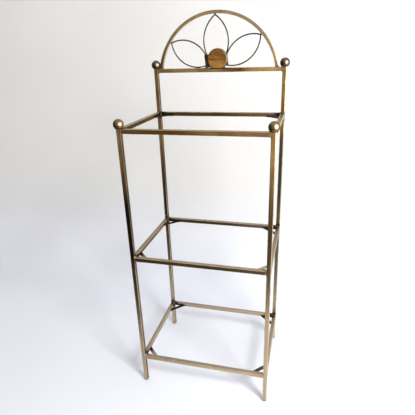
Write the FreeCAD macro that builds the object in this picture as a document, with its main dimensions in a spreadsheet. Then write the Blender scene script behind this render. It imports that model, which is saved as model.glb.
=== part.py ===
import FreeCAD, Part
import itertools
import math
import os
import Sketcher

# Etagere: a brazed frame of square tube with three open tiers, a crest rail between the taller
# back posts, and an arch on the crest rail that holds a wire flower with a disc at its foot.
# The origin is on the floor, midway between the four posts: +X right, -Y front, +Z up.

# Driving sizes, in millimetres and degrees.
SIZES = (
    # Posts and rails
    ("post_spacing_x", "406.4"),        # left to right, between post centre lines
    ("post_spacing_y", "304.8"),        # front to back, between post centre lines
    ("tube_side", "12.7"),              # outside of the square tube
    ("tube_wall", "1.2"),
    ("tube_corner", "1.6"),             # outside corner radius of the tube
    ("bottom_rail_height", "100"),      # floor to rail centre line, as the next two
    ("middle_rail_height", "472"),
    ("top_rail_height", "857"),
    ("crest_gap", "122.3"),             # between the top tier's rails and the crest rail
    ("fit_clearance", "0.1"),           # around a piece pushed into a tube
    # Corner braces that carry a shelf pane
    ("pane_recess", "9"),               # rail top down to the brace top
    ("brace_reach", "43"),              # along each rail, from the inside corner
    ("brace_width", "10.5"),
    ("brace_thickness", "2.5"),
    # Foot glides
    ("glide_flange", "3"),
    ("glide_insert", "12"),
    ("glide_chamfer", "0.6"),
    # Ball finials with their studs and plugs
    ("ball_diameter", "28.6"),
    ("ball_seat", "18.5"),              # diameter of the flat under the ball
    ("stud_diameter", "5"),
    ("stud_clearance", "0.05"),         # around the stud in its holes
    ("stud_in_ball", "9"),
    ("stud_in_plug", "10"),
    ("stud_end_gap", "0.5"),            # hole depth past the stud's end
    ("plug_length", "15"),
    # Arch, which fits between the ball finials of the back posts
    ("arch_clearance", "0.9"),          # between the arch and the nearer ball
    ("arch_drop", "28.5"),              # arch centre below the top of the crest rail
    ("arch_offset", "2.5"),             # arch centre line left of the frame's middle
    ("arch_side", "9.5"),
    ("arch_wall", "1"),
    ("arch_corner", "1"),
    # Wire petals: foot from the arch centre line, gap above the crest rail, lean from upright in
    # degrees, and width as a share of the petal's length
    ("wire_diameter", "3.97"),
    ("wire_gap", "0.1"),                # between wires and what they cross
    ("petal_tip_gap", "0.15"),          # between a petal's point and the arch
    ("left_petal_foot", "27.1"),
    ("left_petal_gap", "0.4"),
    ("left_petal_lean", "61"),
    ("left_petal_width_share", "0.501"),
    ("centre_petal_foot", "1.9"),
    ("centre_petal_gap", "0.36"),
    ("centre_petal_lean", "1.2"),
    ("centre_petal_width_share", "0.524"),
    ("right_petal_foot", "25.1"),
    ("right_petal_gap", "3.87"),
    ("right_petal_lean", "52.9"),
    ("right_petal_width_share", "0.49"),
    # Disc, and the plate behind it that the wires are brazed to
    ("disc_diameter", "63.5"),
    ("disc_thickness", "4.8"),
    ("disc_edge", "4"),                 # radius on the disc's front edge
    ("disc_rise", "24.5"),              # disc centre above the crest rail
    ("disc_set", "2.4"),                # disc's back behind the front of the crest rail
    ("plate_width", "72"),
    ("plate_height", "37"),
    ("plate_thickness", "2"),
    ("plate_rise", "22"),               # plate centre above the crest rail
    ("plate_lean", "5"),                # plate's turn to the left
)

HALF_TURN = 180
FULL_TURN = 360
QUARTER_TURN = 90
LEFT, RIGHT = -1, 1
FRONT, BACK = -1, 1
SIDE_NAMES = {LEFT: "left", RIGHT: "right"}
FACE_NAMES = {FRONT: "front", BACK: "back"}

doc = FreeCAD.newDocument("etagere")
sheet = doc.addObject("Spreadsheet::Sheet", "Sizes")
sheet_rows = itertools.count(1)


def add_to_sheet(alias, content):
    cell = "A%d" % next(sheet_rows)
    sheet.set(cell, content)
    sheet.setAlias(cell, alias)


for size_name, size_text in SIZES:
    add_to_sheet(size_name, size_text)
doc.recompute()


class Dim:
    """A size worked out from the sheet: its number now, and the expression that keeps it bound."""

    def __init__(self, number, text):
        self.number = number
        self.text = text

    def __add__(self, other):
        return Dim(self.number + other.number, "(%s + %s)" % (self.text, other.text))

    def __sub__(self, other):
        return Dim(self.number - other.number, "(%s - %s)" % (self.text, other.text))

    def __mul__(self, other):
        other = as_dim(other)
        return Dim(self.number * other.number, "(%s * %s)" % (self.text, other.text))

    def __truediv__(self, other):
        other = as_dim(other)
        return Dim(self.number / other.number, "(%s / %s)" % (self.text, other.text))


def as_dim(value):
    """A plain count or factor as a Dim; a Dim stays as it is."""
    if isinstance(value, Dim):
        return value
    return Dim(value, "(%s)" % value)


def size(alias):
    """A driving size, by its name in the sheet."""
    return Dim(float(getattr(sheet, alias)), "Sizes." + alias)


def derived(alias, value):
    """Keeps a long sum in the sheet under a name, and gives it back as a size."""
    add_to_sheet(alias, "=" + value.text.replace("Sizes.", ""))
    doc.recompute()
    return size(alias)


def root(value):
    return Dim(math.sqrt(value.number), "sqrt(%s)" % value.text)


def sine(angle):
    return Dim(math.sin(math.radians(angle.number)), "sin(%s)" % angle.text)


def cosine(angle):
    return Dim(math.cos(math.radians(angle.number)), "cos(%s)" % angle.text)


# Sizes and places that several pieces share
ZERO = as_dim(0)
TUBE = size("tube_side")
TUBE_HALF = TUBE / 2
TUBE_BORE = TUBE - size("tube_wall") * 2
SPACING_X = size("post_spacing_x")
SPACING_Y = size("post_spacing_y")
FRONT_TOP = size("top_rail_height") + TUBE_HALF
CREST_TOP = derived("crest_top", FRONT_TOP + size("crest_gap") + TUBE)
POST_TOPS = {FRONT: FRONT_TOP, BACK: CREST_TOP}
CREST_Y = SPACING_Y / 2
DISC_BACK_Y = CREST_Y - TUBE_HALF + size("disc_set")
BALL_RADIUS = size("ball_diameter") / 2
SEAT_RADIUS = size("ball_seat") / 2
BALL_RISE = root(BALL_RADIUS * BALL_RADIUS - SEAT_RADIUS * SEAT_RADIUS)
ARCH_X = ZERO - size("arch_offset")
BALL_ACROSS = SPACING_X / 2 - size("arch_offset")
BALL_UP = size("arch_drop") + BALL_RISE
BALL_DISTANCE = root(BALL_ACROSS * BALL_ACROSS + BALL_UP * BALL_UP)
ARCH_OUTSIDE = BALL_DISTANCE - BALL_RADIUS - size("arch_clearance")
ARCH_RADIUS = derived("arch_radius", ARCH_OUTSIDE - size("arch_side") / 2)
WIRE_RADIUS = size("wire_diameter") / 2
SIDE_PETAL_Y = DISC_BACK_Y + size("plate_thickness") + size("wire_gap") + WIRE_RADIUS
CENTRE_PETAL_Y = SIDE_PETAL_Y + size("wire_diameter") + size("wire_gap")

nodes = []


def place(piece, x, y, z, axis=None, angle=None):
    """Binds a piece's place, and its turn about an axis, to the sheet."""
    if axis is not None:
        piece.Placement.Rotation = FreeCAD.Rotation(FreeCAD.Vector(*axis), angle.number)
        piece.setExpression("Placement.Rotation.Angle", angle.text)
    piece.setExpression("Placement.Base.x", x.text)
    piece.setExpression("Placement.Base.y", y.text)
    piece.setExpression("Placement.Base.z", z.text)


def new_body(label):
    body = doc.addObject("PartDesign::Body", label)
    body.Label = label
    nodes.append(body)
    return body


def origin_plane(body, role):
    return [feature for feature in body.Origin.OriginFeatures if feature.Role == role][0]


def new_sketch(body, role):
    """A sketch on one of the body's own origin planes."""
    sketch = body.newObject("Sketcher::SketchObject", "sketch")
    sketch.AttachmentSupport = [(origin_plane(body, role), "")]
    sketch.MapMode = "FlatFace"
    return sketch


def hold(sketch, kind, *places):
    """Adds a constraint. A Dim at the end is its size, bound to the sheet."""
    if not isinstance(places[-1], Dim):
        sketch.addConstraint(Sketcher.Constraint(kind, *places))
        return
    *places, dim = places
    index = sketch.addConstraint(Sketcher.Constraint(kind, *places, dim.number))
    sketch.setExpression("Constraints[%d]" % index, dim.text)


# Names for a sketch's origin, its axes and the points of a line or an arc
AXIS_X, AXIS_Y = range(-1, -3, -1)
START, END, CENTRE = range(1, 4)
ORIGIN = (AXIS_X, START)


def line(sketch, start, end):
    points = [FreeCAD.Vector(x.number, y.number, 0) for x, y in (start, end)]
    return sketch.addGeometry(Part.LineSegment(*points))


def arc(sketch, centre, radius, first_angle, last_angle):
    middle = FreeCAD.Vector(centre[0].number, centre[1].number, 0)
    circle = Part.Circle(middle, FreeCAD.Vector(0, 0, 1), radius.number)
    ends = math.radians(first_angle), math.radians(last_angle)
    return sketch.addGeometry(Part.ArcOfCircle(circle, *ends))


def circle(sketch, x, radius):
    """A circle on the sketch's X axis."""
    middle = FreeCAD.Vector(x.number, 0, 0)
    ring = sketch.addGeometry(Part.Circle(middle, FreeCAD.Vector(0, 0, 1), radius.number))
    hold(sketch, "PointOnObject", ring, CENTRE, AXIS_X)
    hold(sketch, "DistanceX", *ORIGIN, ring, CENTRE, x)
    hold(sketch, "Radius", ring, radius)


def closed_loop(sketch, edges, smooth=()):
    """Joins edges end to end; an edge in smooth runs tangent into the next one."""
    for edge, following in zip(edges, edges[1:] + edges[:1]):
        kind = "Tangent" if edge in smooth else "Coincident"
        hold(sketch, kind, edge, END, following, START)


def rectangle(sketch, width, height, top, right=None):
    """A rectangle with its upper side at top, centred on the sketch's Y axis unless right is given."""
    right = right or width / 2
    left = right - width
    bottom = top - height
    right_side = line(sketch, (right, bottom), (right, top))
    top_side = line(sketch, (right, top), (left, top))
    left_side = line(sketch, (left, top), (left, bottom))
    bottom_side = line(sketch, (left, bottom), (right, bottom))
    closed_loop(sketch, [right_side, top_side, left_side, bottom_side])
    for side in (right_side, left_side):
        hold(sketch, "Vertical", side)
    for side in (top_side, bottom_side):
        hold(sketch, "Horizontal", side)
    hold(sketch, "DistanceX", left_side, START, *ORIGIN, width - right)
    hold(sketch, "DistanceX", top_side, END, top_side, START, width)
    hold(sketch, "DistanceY", right_side, START, right_side, END, height)
    hold(sketch, "DistanceY", *ORIGIN, top_side, START, top)


def rounded_square(sketch, side, corner, top):
    """A square with rounded corners, centred on the sketch's Y axis, with its upper side at top."""
    half = side / 2
    flat = half - corner
    middle = top - half
    edges = []
    for quarter in range(4):
        turn = math.radians(QUARTER_TURN * quarter)
        ahead = FreeCAD.Vector(math.cos(turn), math.sin(turn), 0)
        across = FreeCAD.Vector(-math.sin(turn), math.cos(turn), 0)
        centre = FreeCAD.Vector(0, middle.number, 0)
        face = centre + ahead * half.number
        run = Part.LineSegment(face - across * flat.number, face + across * flat.number)
        bend_centre = centre + (ahead + across) * flat.number
        bend = Part.Circle(bend_centre, FreeCAD.Vector(0, 0, 1), corner.number)
        edges.append(sketch.addGeometry(run))
        edges.append(sketch.addGeometry(Part.ArcOfCircle(bend, turn, turn + math.radians(QUARTER_TURN))))
    closed_loop(sketch, edges, smooth=edges)
    right, first_bend, upper, second_bend, left, third_bend, lower, fourth_bend = edges
    for upright in (right, left):
        hold(sketch, "Vertical", upright)
    for level in (upper, lower):
        hold(sketch, "Horizontal", level)
    for bend in (second_bend, third_bend, fourth_bend):
        hold(sketch, "Equal", first_bend, bend)
    hold(sketch, "Radius", first_bend, corner)
    hold(sketch, "DistanceX", left, START, *ORIGIN, half)
    hold(sketch, "DistanceX", left, START, right, START, side)
    hold(sketch, "DistanceY", lower, START, upper, START, side)
    hold(sketch, "DistanceY", *ORIGIN, upper, START, top)


def tube_section(sketch, side, wall, corner, top):
    bore = side - wall * 2
    rounded_square(sketch, side, corner, top)
    rectangle(sketch, bore, bore, top - wall)


def pad(body, sketch, length, centred=False):
    feature = body.newObject("PartDesign::Pad", "pad")
    feature.Profile = sketch
    feature.SideType = "Symmetric" if centred else "One side"
    feature.setExpression("Length", length.text)
    return feature


def revolve(body, sketch, axis, angle, centred=False):
    feature = body.newObject("PartDesign::Revolution", "revolution")
    feature.Profile = sketch
    feature.ReferenceAxis = (sketch, [axis])
    feature.Angle = angle
    feature.Midplane = centred
    return feature


def cut_through(body, sketch, base):
    """Cuts the sketch's outline through the body, both ways, and checks that it took something off."""
    feature = body.newObject("PartDesign::Pocket", "pocket")
    feature.Profile = sketch
    feature.Type = "ThroughAll"
    feature.SideType = "Symmetric"
    doc.recompute()
    if not feature.Shape.Volume < base.Shape.Volume:
        raise RuntimeError("nothing was cut from " + body.Label)
    return feature


def make_tube(label, role, length, x, y, z, centred=True):
    """A straight square tube along the normal of one of its origin planes."""
    body = new_body(label)
    sketch = new_sketch(body, role)
    tube_section(sketch, TUBE, size("tube_wall"), size("tube_corner"), TUBE_HALF)
    pad(body, sketch, length, centred)
    place(body, x, y, z)


def corners():
    """Each corner of the frame: its name, side, face and post centre line."""
    for face in (FRONT, BACK):
        for side in (LEFT, RIGHT):
            name = "%s_%s" % (FACE_NAMES[face], SIDE_NAMES[side])
            yield name, side, face, SPACING_X / 2 * side, SPACING_Y / 2 * face


def make_posts():
    foot = size("glide_flange")
    for name, _, face, x, y in corners():
        make_tube(name + "_post", "XY_Plane", POST_TOPS[face] - foot, x, y, foot, centred=False)


def make_tier(tier):
    """Four rails butted between the posts, with their centre lines at one height."""
    height = size(tier + "_rail_height")
    for face, name in FACE_NAMES.items():
        label = "%s_%s_rail" % (tier, name)
        make_tube(label, "YZ_Plane", SPACING_X - TUBE, ZERO, SPACING_Y / 2 * face, height)
    for side, name in SIDE_NAMES.items():
        label = "%s_%s_rail" % (tier, name)
        make_tube(label, "XZ_Plane", SPACING_Y - TUBE, SPACING_X / 2 * side, ZERO, height)


# Corners a quarter turn about +Z apart, from the one where a brace lies as it is sketched
CORNERS_IN_TURN = ((LEFT, FRONT), (RIGHT, FRONT), (RIGHT, BACK), (LEFT, BACK))


def make_braces(tier):
    """A flat bar across each inside corner, its ends against the inner faces of two rails."""
    reach = size("brace_reach")
    inner_reach = reach - size("brace_width") * root(as_dim(2))
    thickness = size("brace_thickness")
    underside = size(tier + "_rail_height") + TUBE_HALF - size("pane_recess") - thickness
    for name, side, face, x, y in corners():
        body = new_body("%s_%s_brace" % (tier, name))
        sketch = new_sketch(body, "XY_Plane")
        outer = line(sketch, (reach, ZERO), (ZERO, reach))
        left_end = line(sketch, (ZERO, reach), (ZERO, inner_reach))
        inner = line(sketch, (ZERO, inner_reach), (inner_reach, ZERO))
        right_end = line(sketch, (inner_reach, ZERO), (reach, ZERO))
        closed_loop(sketch, [outer, left_end, inner, right_end])
        for edge, distance in ((outer, reach), (right_end, inner_reach)):
            hold(sketch, "PointOnObject", edge, START, AXIS_X)
            hold(sketch, "DistanceX", *ORIGIN, edge, START, distance)
        for edge, distance in ((outer, reach), (left_end, inner_reach)):
            hold(sketch, "PointOnObject", edge, END, AXIS_Y)
            hold(sketch, "DistanceY", *ORIGIN, edge, END, distance)
        pad(body, sketch, thickness)
        turn = as_dim(QUARTER_TURN * CORNERS_IN_TURN.index((side, face)))
        place(body, x - TUBE_HALF * side, y - TUBE_HALF * face, underside, (0, 0, 1), turn)


def make_foot_glides():
    """A flanged plug in the lower end of each post; the post stands on its flange."""
    flange = size("glide_flange")
    insert_side = TUBE_BORE - size("fit_clearance") * 2
    for name, _, _, x, y in corners():
        body = new_body(name + "_foot_glide")
        flange_sketch = new_sketch(body, "XY_Plane")
        rounded_square(flange_sketch, TUBE, size("tube_corner"), TUBE_HALF)
        flange_pad = pad(body, flange_sketch, flange)
        insert_sketch = new_sketch(body, "XY_Plane")
        insert_sketch.setExpression("AttachmentOffset.Base.z", flange.text)
        rectangle(insert_sketch, insert_side, insert_side, insert_side / 2)
        insert_pad = pad(body, insert_sketch, size("glide_insert"))
        doc.recompute()
        soles = [index for index, face in enumerate(insert_pad.Shape.Faces, start=1)
                 if face.BoundBox.ZMax < flange_pad.Shape.BoundBox.Center.z]
        chamfer = body.newObject("PartDesign::Chamfer", "chamfer")
        chamfer.Base = (insert_pad, ["Face%d" % index for index in soles])
        chamfer.setExpression("Size", size("glide_chamfer").text)
        place(body, x, y, ZERO)


def make_finial(name, x, y, post_top):
    """A ball on the post's top, the plug inside the post, and the stud that joins them."""
    hole_radius = size("stud_diameter") / 2 + size("stud_clearance")
    hole_depth = size("stud_in_ball") + size("stud_end_gap")

    ball = new_body(name + "_ball_finial")
    sketch = new_sketch(ball, "XZ_Plane")
    seat = line(sketch, (hole_radius, ZERO), (SEAT_RADIUS, ZERO))
    seat_angle = math.degrees(math.atan2(-BALL_RISE.number, SEAT_RADIUS.number))
    surface = arc(sketch, (ZERO, BALL_RISE), BALL_RADIUS, seat_angle, QUARTER_TURN)
    core = line(sketch, (ZERO, BALL_RISE + BALL_RADIUS), (ZERO, hole_depth))
    hole_end = line(sketch, (ZERO, hole_depth), (hole_radius, hole_depth))
    hole_wall = line(sketch, (hole_radius, hole_depth), (hole_radius, ZERO))
    closed_loop(sketch, [seat, surface, core, hole_end, hole_wall])
    for point, radius in ((START, hole_radius), (END, SEAT_RADIUS)):
        hold(sketch, "PointOnObject", seat, point, AXIS_X)
        hold(sketch, "DistanceX", *ORIGIN, seat, point, radius)
    hold(sketch, "PointOnObject", surface, CENTRE, AXIS_Y)
    hold(sketch, "Radius", surface, BALL_RADIUS)
    for point in (START, END):
        hold(sketch, "PointOnObject", core, point, AXIS_Y)
    hold(sketch, "Horizontal", hole_end)
    hold(sketch, "Vertical", hole_wall)
    hold(sketch, "DistanceY", *ORIGIN, core, END, hole_depth)
    revolve(ball, sketch, "V_Axis", FULL_TURN)
    place(ball, x, y, post_top)

    plug = new_body(name + "_post_plug")
    sketch = new_sketch(plug, "XY_Plane")
    plug_side = TUBE_BORE - size("fit_clearance") * 2
    rectangle(sketch, plug_side, plug_side, plug_side / 2)
    circle(sketch, ZERO, hole_radius)
    pad(plug, sketch, size("plug_length"))
    place(plug, x, y, post_top - size("plug_length"))

    stud = doc.addObject("Part::Cylinder", name + "_finial_stud")
    stud.Label = name + "_finial_stud"
    stud.setExpression("Radius", (size("stud_diameter") / 2).text)
    stud.setExpression("Height", (size("stud_in_ball") + size("stud_in_plug")).text)
    place(stud, x, y, post_top - size("stud_in_plug"))
    nodes.append(stud)


def make_arch():
    """A bent square tube, cut flat where its two feet stand on the crest rail."""
    side = size("arch_side")
    drop = size("arch_drop")
    body = new_body("crest_arch")
    section = new_sketch(body, "YZ_Plane")
    tube_section(section, side, size("arch_wall"), size("arch_corner"), ARCH_RADIUS + side / 2)
    ring = revolve(body, section, "H_Axis", HALF_TURN, centred=True)
    feet = new_sketch(body, "XZ_Plane")
    rectangle(feet, (ARCH_RADIUS + side) * 2, drop + side, drop)
    cut_through(body, feet, ring)
    place(body, ARCH_X, CREST_Y, CREST_TOP - drop)


def make_petal(name, side, y, lies):
    """A pointed oval of round wire: one arc, cut at the petal's middle and mirrored there. It reaches
    to the inside of the arch from just above the crest rail, where it lies on a wire or stands on
    its point."""
    foot = size(name + "_petal_foot")
    gap = size(name + "_petal_gap")
    lean = size(name + "_petal_lean")
    width_share = size(name + "_petal_width_share")
    one = as_dim(1)
    bend_share = (one + width_share * width_share) / (width_share * 2)
    # The mitred wire stands past the crossing of its two centre lines
    point = WIRE_RADIUS * bend_share
    if lies:
        lie_share = bend_share * (one - sine(lean)) + width_share * sine(lean) - cosine(lean)
        lift = WIRE_RADIUS + gap
    else:
        lie_share = ZERO
        lift = point * cosine(lean) + gap
    # Half the length, from the foot's place and the point where the lean meets the arch
    across = foot + point * sine(lean)
    up = size("arch_drop") + lift + point * cosine(lean)
    across_share = sine(lean) * 2
    up_share = cosine(lean) * 2 + lie_share
    reach = ARCH_RADIUS - size("arch_side") / 2 - size("petal_tip_gap")
    shares = across_share * across_share + up_share * up_share
    slope = across * across_share + up * up_share
    room = reach * reach - across * across - up * up
    half_length = derived(name + "_petal_half", (root(slope * slope + shares * room) - slope) / shares)
    rise = half_length * lie_share + lift
    half_width = half_length * width_share
    radius = half_length * bend_share
    axis_offset = radius - half_width

    body = new_body(name + "_petal")
    section = new_sketch(body, "XY_Plane")
    left = ZERO - axis_offset
    axis = line(section, (left, ZERO - WIRE_RADIUS), (left, WIRE_RADIUS))
    section.toggleConstruction(axis)
    hold(section, "Symmetric", axis, START, axis, END, AXIS_X)
    hold(section, "DistanceY", axis, START, axis, END, size("wire_diameter"))
    hold(section, "DistanceX", axis, START, *ORIGIN, axis_offset)
    circle(section, half_width, WIRE_RADIUS)
    ring = revolve(body, section, "Axis0", HALF_TURN, centred=True)
    middle = new_sketch(body, "XZ_Plane")
    rectangle(middle, radius * 2, radius * 4, radius * 2, right=ZERO)
    cut_through(body, middle, ring)
    mirror = body.newObject("PartDesign::Mirrored", "mirrored")
    mirror.TransformMode = "Whole shape"
    mirror.MirrorPlane = (origin_plane(body, "YZ_Plane"), [""])
    body.Tip = mirror
    x = ARCH_X + (foot + half_length * sine(lean)) * side
    z = CREST_TOP + rise + half_length * cosine(lean)
    place(body, x, y, z, (0, side, 0), lean)


def make_disc():
    """A round plate with its front edge eased, cut flat where it stands on the crest rail."""
    radius = size("disc_diameter") / 2
    thickness = size("disc_thickness")
    edge = size("disc_edge")
    body = new_body("rosette_disc")
    sketch = new_sketch(body, "XY_Plane")
    back = line(sketch, (ZERO, ZERO), (radius, ZERO))
    rim = line(sketch, (radius, ZERO), (radius, thickness - edge))
    eased = arc(sketch, (radius - edge, thickness - edge), edge, 0, QUARTER_TURN)
    front = line(sketch, (radius - edge, thickness), (ZERO, thickness))
    core = line(sketch, (ZERO, thickness), (ZERO, ZERO))
    closed_loop(sketch, [back, rim, eased, front, core], smooth=(rim, eased))
    hold(sketch, "Coincident", core, END, *ORIGIN)
    hold(sketch, "PointOnObject", back, END, AXIS_X)
    hold(sketch, "Vertical", rim)
    hold(sketch, "Horizontal", front)
    hold(sketch, "PointOnObject", core, START, AXIS_Y)
    hold(sketch, "Radius", eased, edge)
    hold(sketch, "DistanceX", *ORIGIN, back, END, radius)
    hold(sketch, "DistanceY", *ORIGIN, front, END, thickness)
    round_plate = revolve(body, sketch, "V_Axis", FULL_TURN)
    rise = size("disc_rise")
    foot = new_sketch(body, "XZ_Plane")
    rectangle(foot, radius * 2, radius, ZERO - rise)
    cut_through(body, foot, round_plate)
    place(body, ZERO, DISC_BACK_Y, CREST_TOP + rise, (0, 0, 1), as_dim(HALF_TURN))


def make_plate():
    """A flat plate on the back of the disc, which the petals' wires lie against."""
    height = size("plate_height")
    thickness = size("plate_thickness")
    body = new_body("rosette_plate")
    sketch = new_sketch(body, "XZ_Plane")
    rectangle(sketch, size("plate_width"), height, height / 2)
    pad(body, sketch, thickness, centred=True)
    x = ARCH_X - size("centre_petal_foot")
    y = DISC_BACK_Y + thickness / 2
    place(body, x, y, CREST_TOP + size("plate_rise"), (0, LEFT, 0), size("plate_lean"))


def export_nodes():
    """Checks every object and writes each piece's solid to its own file."""
    doc.recompute()
    for item in doc.Objects:
        if {"Invalid", "Error"} & set(item.State):
            raise RuntimeError("%s failed: %s" % (item.Label, item.State))
    os.makedirs("parts", exist_ok=True)
    for node in nodes:
        shape = node.Shape
        if shape.isNull() or not shape.isValid() or len(shape.Solids) != 1:
            raise RuntimeError("bad shape in " + node.Label)
        shape.exportStep("parts/%s.step" % node.Label)


make_posts()
for tier in ("bottom", "middle", "top"):
    make_tier(tier)
    make_braces(tier)
make_tube("crest_rail", "YZ_Plane", SPACING_X - TUBE, ZERO, CREST_Y, CREST_TOP - TUBE_HALF)
make_foot_glides()
for corner_name, _, corner_face, corner_x, corner_y in corners():
    make_finial(corner_name, corner_x, corner_y, POST_TOPS[corner_face])
make_arch()
make_petal("left", LEFT, SIDE_PETAL_Y, lies=True)
make_petal("centre", LEFT, CENTRE_PETAL_Y, lies=False)
make_petal("right", RIGHT, SIDE_PETAL_Y, lies=True)
make_disc()
make_plate()
export_nodes()
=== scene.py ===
import math
from collections import namedtuple

import bmesh
import bpy
from bpy.props import FloatProperty, FloatVectorProperty, PointerProperty
from mathutils import Matrix, Vector
from mathutils.kdtree import KDTree


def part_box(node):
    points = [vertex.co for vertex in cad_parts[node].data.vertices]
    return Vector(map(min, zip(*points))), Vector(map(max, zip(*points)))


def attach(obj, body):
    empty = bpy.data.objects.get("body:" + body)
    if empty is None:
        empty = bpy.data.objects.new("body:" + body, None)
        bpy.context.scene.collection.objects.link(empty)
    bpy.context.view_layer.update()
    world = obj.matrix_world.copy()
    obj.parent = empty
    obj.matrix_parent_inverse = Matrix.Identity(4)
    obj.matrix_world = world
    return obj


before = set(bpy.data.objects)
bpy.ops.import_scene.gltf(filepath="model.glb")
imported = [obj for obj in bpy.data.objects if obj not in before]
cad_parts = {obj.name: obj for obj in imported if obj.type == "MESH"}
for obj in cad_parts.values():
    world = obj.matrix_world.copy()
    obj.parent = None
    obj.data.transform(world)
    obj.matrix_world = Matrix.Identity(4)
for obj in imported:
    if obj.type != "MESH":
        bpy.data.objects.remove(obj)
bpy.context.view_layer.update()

bl_info = {
    "name": "Brass Etagere",
    "version": (1, 0, 0),
    "blender": (4, 5, 0),
    "location": "3D View > Sidebar > Etagere",
    "description": "Aged brass finishes, brazed joints and a plain stage for an etagere of square tube",
    "category": "Object",
}

SIDES = ("left", "right")
FACES = ("front", "back")
TIERS = ("bottom", "middle", "top")


def middle_of(node):
    """The middle of a node's box."""
    low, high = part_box(node)
    return (low + high) / 2


def half_width(node):
    """Half of a node's size from left to right."""
    low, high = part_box(node)
    return (high.x - low.x) / 2


# Places read from the frame
POST_X, POST_Y = middle_of("back_right_post")[:2]
TUBE_HALF = half_width("back_right_post")
INNER_X, INNER_Y = POST_X - TUBE_HALF, POST_Y - TUBE_HALF
FRONT_SIDE = -POST_Y - TUBE_HALF
RAIL_HEIGHTS = [middle_of(tier + "_front_rail").z for tier in TIERS] + [middle_of("crest_rail").z]
TOP_TIER = RAIL_HEIGHTS[-2]
CREST_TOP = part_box("crest_rail")[1].z
FRONT_POST_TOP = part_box("front_left_post")[1].z
DISC_RADIUS = half_width("rosette_disc")
DISC_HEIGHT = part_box("rosette_disc")[1].z - DISC_RADIUS

# How far the torch's soot reaches from a joint
SOOT_REACH = {"post": 0.011, "rail": 0.02, "crest": 0.012, "arch": 0.006, "brace": 0.016, "ball": 0.005}

# How much sooner the soot fades towards the outer sides than along a tube
OUTWARD_FADE = 1.7

# How much further off the crest rail's joints count as, because they are cleaner than the tiers'
CREST_CLEANER = 0.009

# How far before the end of a brace the soot on the rail beside it starts to fade
BRACE_SOOT = 0.003

# Heights where a stretch of a post painted dull or black as shade begins, is full, starts to fade and is gone
RIGHT_BACK_LOW_DULL = (0.12, 0.3, 0.44, 0.55)
RIGHT_BACK_HIGH_DULL = (0.5, 0.6, 0.76, 0.87)
LEFT_BACK_DULL = (0.24, 0.33, 0.37, 0.47)
LEFT_FRONT_BLACK = (0.4, 0.5, 0.64, 0.76)

# How closely drawn or brushed lines follow each other along X, Y and Z
ALONG_X, ALONG_Y, ALONG_Z = (11.0, 900.0, 900.0), (900.0, 11.0, 900.0), (900.0, 900.0, 11.0)
BRACE_LINES = (160.0, 160.0, 900.0)
BALL_LINES = (130.0, 130.0, 700.0)
PLUG_LINES = (600.0, 600.0, 1500.0)
STUD_LINES = (90.0, 90.0, 2400.0)
DISC_LINES, DISC_BANDS = (45.0, 300.0, 1100.0), (22.0, 10.0, 210.0)
DISC_BRUSHING = math.radians(-14)

# Where the lines count as low and as high, and where left gives way to right and front to back
LINE_SPAN = (0.2, 0.8)
MIDLINE = (-0.01, 0.01)

# How deep scratches and flecks are, and how deep coarser marks are
FINE_MARKS, COARSE_MARKS = 0.0002, 0.0003

# Steps of a collar from its thin edge to the post: shares of its reach and of its flare
COLLAR_STEPS = ((0.45, 0.12), (0.3, 0.4), (0.25, 1.0))

# Steps of a bead beyond its straight part: shares of its length, and how much thinner each is
BEAD_STEPS = ((0.05, 0.85), (0.05, 0.75), (0.04, 0.55))

# How much of a brace's end its bead covers, and how far off the rail its middle lies, in radii
BEAD_SHARE, BEAD_INSET = 0.78, 0.35

# How high the middle of a drop of solder lies, in radii
DROP_MIDDLE = 0.55

# Edges of the braze that are blunter than this look smooth
SMOOTH_ANGLE = math.radians(55)
QUARTER_TURN = math.radians(90)

# Selection: how near counts as on a plane, and how squarely a face looks along an axis
NEAR, WALL_NEAR = 1e-6, 1e-4
FACING = 0.9

# The stage: the sweep of floor and wall, the cards that only the brass reflects, and the lights' aims
SWEEP_WIDTH, SWEEP_DEPTH, SWEEP_HEIGHT = 9.0, 6.5, 2.8
SWEEP_BEND, SWEEP_STEPS = 0.3, 16
FLOOR_CARD_PLACE, FLOOR_CARD_SIZE = (0, -3.05, 0.004), (8.0, 6.9)
LEFT_CARD_PLACE, LEFT_CARD_SIZE = (-1.5, -0.2, 1.2), (2.4, 1.6)
WINDOW_CARD_PLACE, WINDOW_CARD_AIM = Vector((1.1, -0.72, 1.22)), Vector((0, 0, 0.9))
BRIGHT_SIDE = tuple(Vector((0.35, 0.45, 0.82)).normalized())
GLOW_SIDE = tuple(Vector((0.3, -0.95, 0.02)).normalized())
KEY_AIM, WINDOW_AIM = (0, 0, 0.5), (0, 0, 0.7)
SENSOR_WIDTH = 36.0

# The Mix node's sockets for its share, its two colours and its result
MIX_SHARE, MIX_UNDER, MIX_OVER, MIX_RESULT = 0, 6, 7, 2
WHITE = (1.0, 1.0, 1.0, 1.0)


def a_length(name, description, default):
    """A length that a user can change."""
    return FloatProperty(name=name, description=description, default=default, unit="LENGTH")


def a_place(name, description, default):
    """A place that a user can change."""
    return FloatVectorProperty(
        name=name, description=description, default=default, subtype="XYZ", unit="LENGTH")


def a_colour(name, description, default):
    """A colour that a user can change."""
    return FloatVectorProperty(name=name, description=description, default=default, subtype="COLOR")


def a_strength(name, description, default, unit="NONE"):
    """The strength of a light that a user can change."""
    return FloatProperty(name=name, description=description, default=default, min=0.0, unit=unit)


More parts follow.
